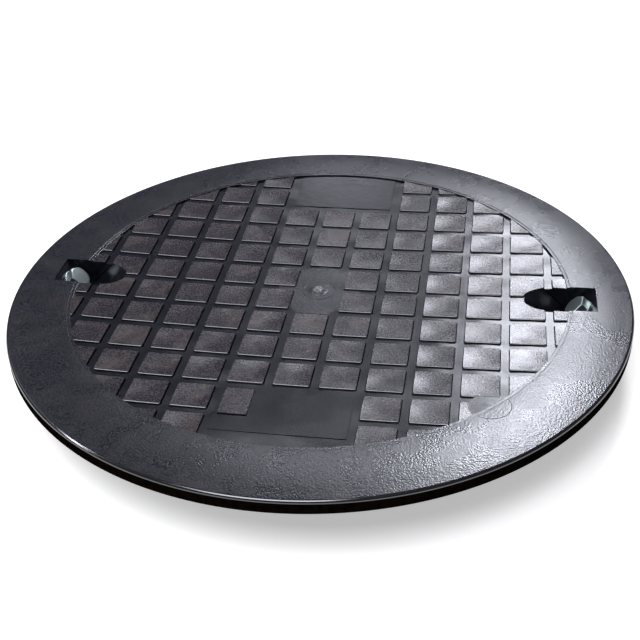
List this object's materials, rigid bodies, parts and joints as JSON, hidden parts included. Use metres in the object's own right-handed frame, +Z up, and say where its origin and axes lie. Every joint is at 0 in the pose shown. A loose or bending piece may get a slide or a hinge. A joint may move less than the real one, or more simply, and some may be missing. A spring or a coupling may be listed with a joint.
{
  "type": "drainage pipe cover",
  "caption": "Round moulded cover with a dished tread of square pads, a smooth rim, a spigot skirt and slanted lock bolts in pockets, for closing an upright drainage riser.",
  "frame": {"origin": "centre of the spigot's lower edge, the plane that the cover rests on", "axes": "+Z up through the cover's top, X through both lock bolts, -Y towards the side with the small raised pad"},
  "size_m": [0.372, 0.372, 0.0378],
  "materials": {
    "black_polypropylene": "injection moulded, fine spark-eroded grain on the rim and pads",
    "zinc_plated_steel": "bright zinc plated"
  },
  "bodies": {
    "root": {"cover": "black_polypropylene", "left_lock_bolt": "zinc_plated_steel", "right_lock_bolt": "zinc_plated_steel", "left_washer": "zinc_plated_steel", "right_washer": "zinc_plated_steel"}
  },
  "joints": []
}
